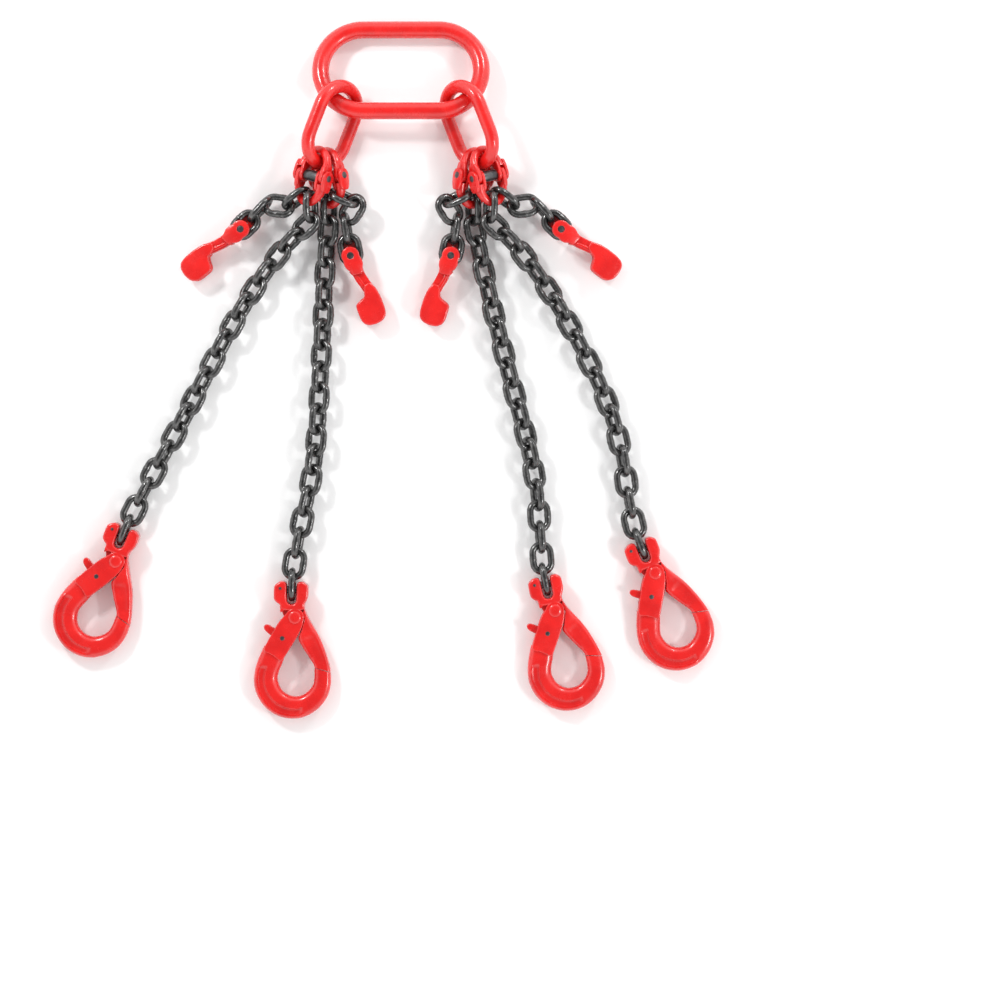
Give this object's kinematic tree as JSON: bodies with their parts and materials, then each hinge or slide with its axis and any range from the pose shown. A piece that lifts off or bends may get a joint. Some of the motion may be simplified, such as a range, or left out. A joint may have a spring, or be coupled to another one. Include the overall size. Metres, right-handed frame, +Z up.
{
  "type": "four leg chain sling",
  "caption": "Chain sling: an oblong master link with intermediate links, coupling links, leg chains ending in self-locking clevis hooks, and short chains with clevis shorteners.",
  "frame": {"origin": "on the ground under the middle of the laid-out sling", "axes": "+Z up from the ground, +Y towards the master link, hooks towards -Y"},
  "size_m": [0.7762, 0.818, 0.0621],
  "materials": {
    "red_paint": "glossy red paint",
    "chain_steel": "dark oiled alloy steel",
    "pin_steel": "dark pin steel"
  },
  "bodies": {
    "master": {"master_link": "red_paint"},
    "intermediate_left": {"intermediate_link_left": "red_paint"},
    "intermediate_right": {"intermediate_link_right": "red_paint"},
    "coupling_upper_1": {"coupling_upper_half_1": "red_paint", "coupling_pin_1": "pin_steel"},
    "coupling_lower_1": {"coupling_lower_half_1": "red_paint"},
    "leg_1_upper": {"leg_1_chain_upper": "chain_steel"},
    "leg_1_middle": {"leg_1_chain_middle": "chain_steel"},
    "leg_1_lower": {"leg_1_chain_lower": "chain_steel"},
    "hook_1": {"hook_head_1": "red_paint", "hook_hinge_pin_1": "red_paint", "hook_load_pin_1": "pin_steel"},
    "bowl_1": {"hook_bowl_1": "red_paint"},
    "trigger_1": {"hook_trigger_1": "red_paint"},
    "short_1": {"short_chain_1": "chain_steel"},
    "shortener_1": {"shortener_1": "red_paint", "shortener_pin_1": "pin_steel"},
    "coupling_upper_2": {"coupling_upper_half_2": "red_paint", "coupling_pin_2": "pin_steel"},
    "coupling_lower_2": {"coupling_lower_half_2": "red_paint"},
    "leg_2_upper": {"leg_2_chain_upper": "chain_steel"},
    "leg_2_middle": {"leg_2_chain_middle": "chain_steel"},
    "leg_2_lower": {"leg_2_chain_lower": "chain_steel"},
    "hook_2": {"hook_head_2": "red_paint", "hook_hinge_pin_2": "red_paint", "hook_load_pin_2": "pin_steel"},
    "bowl_2": {"hook_bowl_2": "red_paint"},
    "trigger_2": {"hook_trigger_2": "red_paint"},
    "short_2": {"short_chain_2": "chain_steel"},
    "shortener_2": {"shortener_2": "red_paint", "shortener_pin_2": "pin_steel"},
    "coupling_upper_3": {"coupling_upper_half_3": "red_paint", "coupling_pin_3": "pin_steel"},
    "coupling_lower_3": {"coupling_lower_half_3": "red_paint"},
    "leg_3_upper": {"leg_3_chain_upper": "chain_steel"},
    "leg_3_middle": {"leg_3_chain_middle": "chain_steel"},
    "leg_3_lower": {"leg_3_chain_lower": "chain_steel"},
    "hook_3": {"hook_head_3": "red_paint", "hook_hinge_pin_3": "red_paint", "hook_load_pin_3": "pin_steel"},
    "bowl_3": {"hook_bowl_3": "red_paint"},
    "trigger_3": {"hook_trigger_3": "red_paint"},
    "short_3": {"short_chain_3": "chain_steel"},
    "shortener_3": {"shortener_3": "red_paint", "shortener_pin_3": "pin_steel"},
    "coupling_upper_4": {"coupling_upper_half_4": "red_paint", "coupling_pin_4": "pin_steel"},
    "coupling_lower_4": {"coupling_lower_half_4": "red_paint"},
    "leg_4_upper": {"leg_4_chain_upper": "chain_steel"},
    "leg_4_middle": {"leg_4_chain_middle": "chain_steel"},
    "leg_4_lower": {"leg_4_chain_lower": "chain_steel"},
    "hook_4": {"hook_head_4": "red_paint", "hook_hinge_pin_4": "red_paint", "hook_load_pin_4": "pin_steel"},
    "bowl_4": {"hook_bowl_4": "red_paint"},
    "trigger_4": {"hook_trigger_4": "red_paint"},
    "short_4": {"short_chain_4": "chain_steel"},
    "shortener_4": {"shortener_4": "red_paint", "shortener_pin_4": "pin_steel"}
  },
  "joints": [
    {"name": "intermediate_left_swing", "type": "hinge", "parent": "master", "child": "intermediate_left", "pos_m": [-0.04994, 0.30899, 0.03189], "axis": [0.848, -0.5163, 0.1192], "range_deg": [-8, 3]},
    {"name": "intermediate_right_swing", "type": "hinge", "parent": "master", "child": "intermediate_right", "pos_m": [0.09105, 0.30899, 0.03189], "axis": [0.848, 0.5163, -0.1192], "range_deg": [-8, 3]},
    {"name": "hook_1_opening", "type": "hinge", "parent": "hook_1", "child": "bowl_1", "pos_m": [-0.31292, -0.22381, 0.01515], "axis": [0.0144, 0.0356, -0.9993], "range_deg": [0, 35]},
    {"name": "hook_2_opening", "type": "hinge", "parent": "hook_2", "child": "bowl_2", "pos_m": [-0.10351, -0.28926, 0.01515], "axis": [0.0007, 0.0384, -0.9993], "range_deg": [0, 35]},
    {"name": "hook_3_opening", "type": "hinge", "parent": "hook_3", "child": "bowl_3", "pos_m": [0.2008, -0.28118, 0.01515], "axis": [-0.008, 0.0375, -0.9993], "range_deg": [0, 35]},
    {"name": "hook_4_opening", "type": "hinge", "parent": "hook_4", "child": "bowl_4", "pos_m": [0.31784, -0.23716, 0.01515], "axis": [-0.0138, 0.0358, -0.9993], "range_deg": [0, 35]},
    {"name": "hook_1_trigger", "type": "hinge", "parent": "bowl_1", "child": "trigger_1", "pos_m": [-0.33525, -0.24119, 0.01421], "axis": [-0.0144, -0.0356, 0.9993], "range_deg": [0, 8], "stiffness_Nm_per_rad": 0.5},
    {"name": "hook_2_trigger", "type": "hinge", "parent": "bowl_2", "child": "trigger_2", "pos_m": [-0.11813, -0.31349, 0.01421], "axis": [-0.0007, -0.0384, 0.9993], "range_deg": [0, 8], "stiffness_Nm_per_rad": 0.5},
    {"name": "hook_3_trigger", "type": "hinge", "parent": "bowl_3", "child": "trigger_3", "pos_m": [0.192, -0.30808, 0.01421], "axis": [0.008, -0.0375, 0.9993], "range_deg": [0, 8], "stiffness_Nm_per_rad": 0.5},
    {"name": "hook_4_trigger", "type": "hinge", "parent": "bowl_4", "child": "trigger_4", "pos_m": [0.31336, -0.2651, 0.01421], "axis": [0.0138, -0.0358, 0.9993], "range_deg": [0, 8], "stiffness_Nm_per_rad": 0.5},
    {"name": "hook_1_swing", "type": "hinge", "parent": "leg_1_lower", "child": "hook_1", "pos_m": [-0.30483, -0.19259, 0.01638], "axis": [0.9272, -0.3746, 0], "range_deg": [-12, 10]},
    {"name": "hook_2_swing", "type": "hinge", "parent": "leg_2_lower", "child": "hook_2", "pos_m": [-0.10715, -0.25722, 0.01638], "axis": [0.9998, -0.0175, 0], "range_deg": [-8, 5]},
    {"name": "hook_3_swing", "type": "hinge", "parent": "leg_3_lower", "child": "hook_3", "pos_m": [0.19005, -0.25078, 0.01638], "axis": [0.9781, 0.2079, 0], "range_deg": [-12, 5]},
    {"name": "hook_4_swing", "type": "hinge", "parent": "leg_4_lower", "child": "hook_4", "pos_m": [0.30246, -0.20881, 0.01638], "axis": [0.9336, 0.3584, 0], "range_deg": [-12, 5]},
    {"name": "shortener_1_swing", "type": "hinge", "parent": "short_1", "child": "shortener_1", "pos_m": [-0.16612, 0.1646, 0.02022], "axis": [-0.0668, -0.056, 0.9962], "range_deg": [-30, 30]},
    {"name": "shortener_2_swing", "type": "hinge", "parent": "short_2", "child": "shortener_2", "pos_m": [-0.03865, 0.13379, 0.02022], "axis": [0.0298, -0.0819, 0.9962], "range_deg": [-20, 30]},
    {"name": "shortener_3_swing", "type": "hinge", "parent": "short_3", "child": "shortener_3", "pos_m": [0.07915, 0.13399, 0.02022], "axis": [-0.024, -0.0838, 0.9962], "range_deg": [-30, 30]},
    {"name": "shortener_4_swing", "type": "hinge", "parent": "short_4", "child": "shortener_4", "pos_m": [0.20713, 0.16448, 0.02022], "axis": [0.0677, -0.0548, 0.9962], "range_deg": [-30, 30]},
    {"name": "short_chain_1_swing", "type": "hinge", "parent": "coupling_lower_1", "child": "short_1", "pos_m": [-0.0969, 0.20353, 0.02615], "axis": [0.3049, -0.8857, 0.3502], "range_deg": [-20, 20]},
    {"name": "short_chain_2_swing", "type": "hinge", "parent": "coupling_lower_2", "child": "short_2", "pos_m": [-0.05108, 0.20262, 0.02907], "axis": [0.3179, 0.8857, 0.3383], "range_deg": [-6, 20]},
    {"name": "short_chain_3_swing", "type": "hinge", "parent": "coupling_lower_3", "child": "short_3", "pos_m": [0.09218, 0.20262, 0.02907], "axis": [0.3179, -0.8857, -0.3383], "range_deg": [-20, 20]},
    {"name": "short_chain_4_swing", "type": "hinge", "parent": "coupling_lower_4", "child": "short_4", "pos_m": [0.13801, 0.20353, 0.02615], "axis": [0.3049, 0.8857, -0.3502], "range_deg": [-20, 20]},
    {"name": "coupling_1_swing", "type": "hinge", "parent": "intermediate_left", "child": "coupling_upper_1", "pos_m": [-0.07756, 0.24184, 0.03386], "axis": [0.5789, -0.3156, -0.7518], "range_deg": [-2, 20]},
    {"name": "coupling_2_swing", "type": "hinge", "parent": "intermediate_left", "child": "coupling_upper_2", "pos_m": [-0.06611, 0.24109, 0.02126], "axis": [0.709, 0.2307, -0.6664], "range_deg": [-20, 2]},
    {"name": "coupling_3_swing", "type": "hinge", "parent": "intermediate_right", "child": "coupling_upper_3", "pos_m": [0.10722, 0.24109, 0.02126], "axis": [0.709, -0.2307, 0.6664], "range_deg": [-20, 2]},
    {"name": "coupling_4_swing", "type": "hinge", "parent": "intermediate_right", "child": "coupling_upper_4", "pos_m": [0.11866, 0.24184, 0.03386], "axis": [0.5789, 0.3156, 0.7518], "range_deg": [-2, 20]},
    {"name": "coupling_1_hinge", "type": "hinge", "parent": "coupling_upper_1", "child": "coupling_lower_1", "pos_m": [-0.0816, 0.22564, 0.03351], "axis": [0.785, -0.2083, 0.5834], "range_deg": [-20, 4]},
    {"name": "coupling_2_hinge", "type": "hinge", "parent": "coupling_upper_2", "child": "coupling_lower_2", "pos_m": [-0.06413, 0.22451, 0.02111], "axis": [0.781, 0.0877, 0.6184], "range_deg": [-4, 20]},
    {"name": "coupling_3_hinge", "type": "hinge", "parent": "coupling_upper_3", "child": "coupling_lower_3", "pos_m": [0.10524, 0.22451, 0.02111], "axis": [0.781, -0.0877, -0.6184], "range_deg": [-4, 20]},
    {"name": "coupling_4_hinge", "type": "hinge", "parent": "coupling_upper_4", "child": "coupling_lower_4", "pos_m": [0.1227, 0.22564, 0.03351], "axis": [0.785, 0.2083, -0.5834], "range_deg": [-20, 4]},
    {"name": "leg_1_upper_swing", "type": "hinge", "parent": "coupling_lower_1", "child": "leg_1_upper", "pos_m": [-0.0846, 0.19513, 0.03608], "axis": [0.8144, 0.2145, 0.5392], "range_deg": [-15, 10]},
    {"name": "leg_2_upper_swing", "type": "hinge", "parent": "coupling_lower_2", "child": "leg_2_upper", "pos_m": [-0.06385, 0.19359, 0.01818], "axis": [0.7761, -0.2459, 0.5806], "range_deg": [-10, 2]},
    {"name": "leg_3_upper_swing", "type": "hinge", "parent": "coupling_lower_3", "child": "leg_3_upper", "pos_m": [0.10496, 0.19359, 0.01818], "axis": [0.7761, 0.2459, -0.5806], "range_deg": [-10, 3]},
    {"name": "leg_4_upper_swing", "type": "hinge", "parent": "coupling_lower_4", "child": "leg_4_upper", "pos_m": [0.12571, 0.19513, 0.03608], "axis": [0.8144, -0.2145, -0.5392], "range_deg": [-15, 10]},
    {"name": "leg_1_middle_bend", "type": "hinge", "parent": "leg_1_upper", "child": "leg_1_middle", "pos_m": [-0.16122, 0.07987, 0.016], "axis": [-0.7541, 0.4804, -0.4478], "range_deg": [-20, 20]},
    {"name": "leg_2_middle_bend", "type": "hinge", "parent": "leg_2_upper", "child": "leg_2_middle", "pos_m": [-0.07142, 0.04813, 0.016], "axis": [-0.838, 0.0329, -0.5446], "range_deg": [-20, 20]},
    {"name": "leg_3_middle_bend", "type": "hinge", "parent": "leg_3_upper", "child": "leg_3_middle", "pos_m": [0.13296, 0.05103, 0.016], "axis": [0.8146, 0.1993, -0.5446], "range_deg": [-20, 20]},
    {"name": "leg_4_middle_bend", "type": "hinge", "parent": "leg_4_upper", "child": "leg_4_middle", "pos_m": [0.202, 0.07957, 0.016], "axis": [0.7541, 0.4804, -0.4478], "range_deg": [-20, 20]},
    {"name": "leg_1_lower_bend", "type": "hinge", "parent": "leg_1_middle", "child": "leg_1_lower", "pos_m": [-0.23037, -0.04937, 0.016], "axis": [0.7949, -0.4094, 0.4478], "range_deg": [-20, 20]},
    {"name": "leg_2_lower_bend", "type": "hinge", "parent": "leg_2_middle", "child": "leg_2_lower", "pos_m": [-0.08043, -0.09817, 0.016], "axis": [0.8353, -0.0749, 0.5446], "range_deg": [-20, 20]},
    {"name": "leg_3_lower_bend", "type": "hinge", "parent": "leg_3_middle", "child": "leg_3_lower", "pos_m": [0.16997, -0.09082, 0.016], "axis": [-0.8142, -0.2011, 0.5446], "range_deg": [-20, 20]},
    {"name": "leg_4_lower_bend", "type": "hinge", "parent": "leg_4_middle", "child": "leg_4_lower", "pos_m": [0.26686, -0.05164, 0.016], "axis": [-0.8368, -0.315, 0.4478], "range_deg": [-20, 20]}
  ]
}
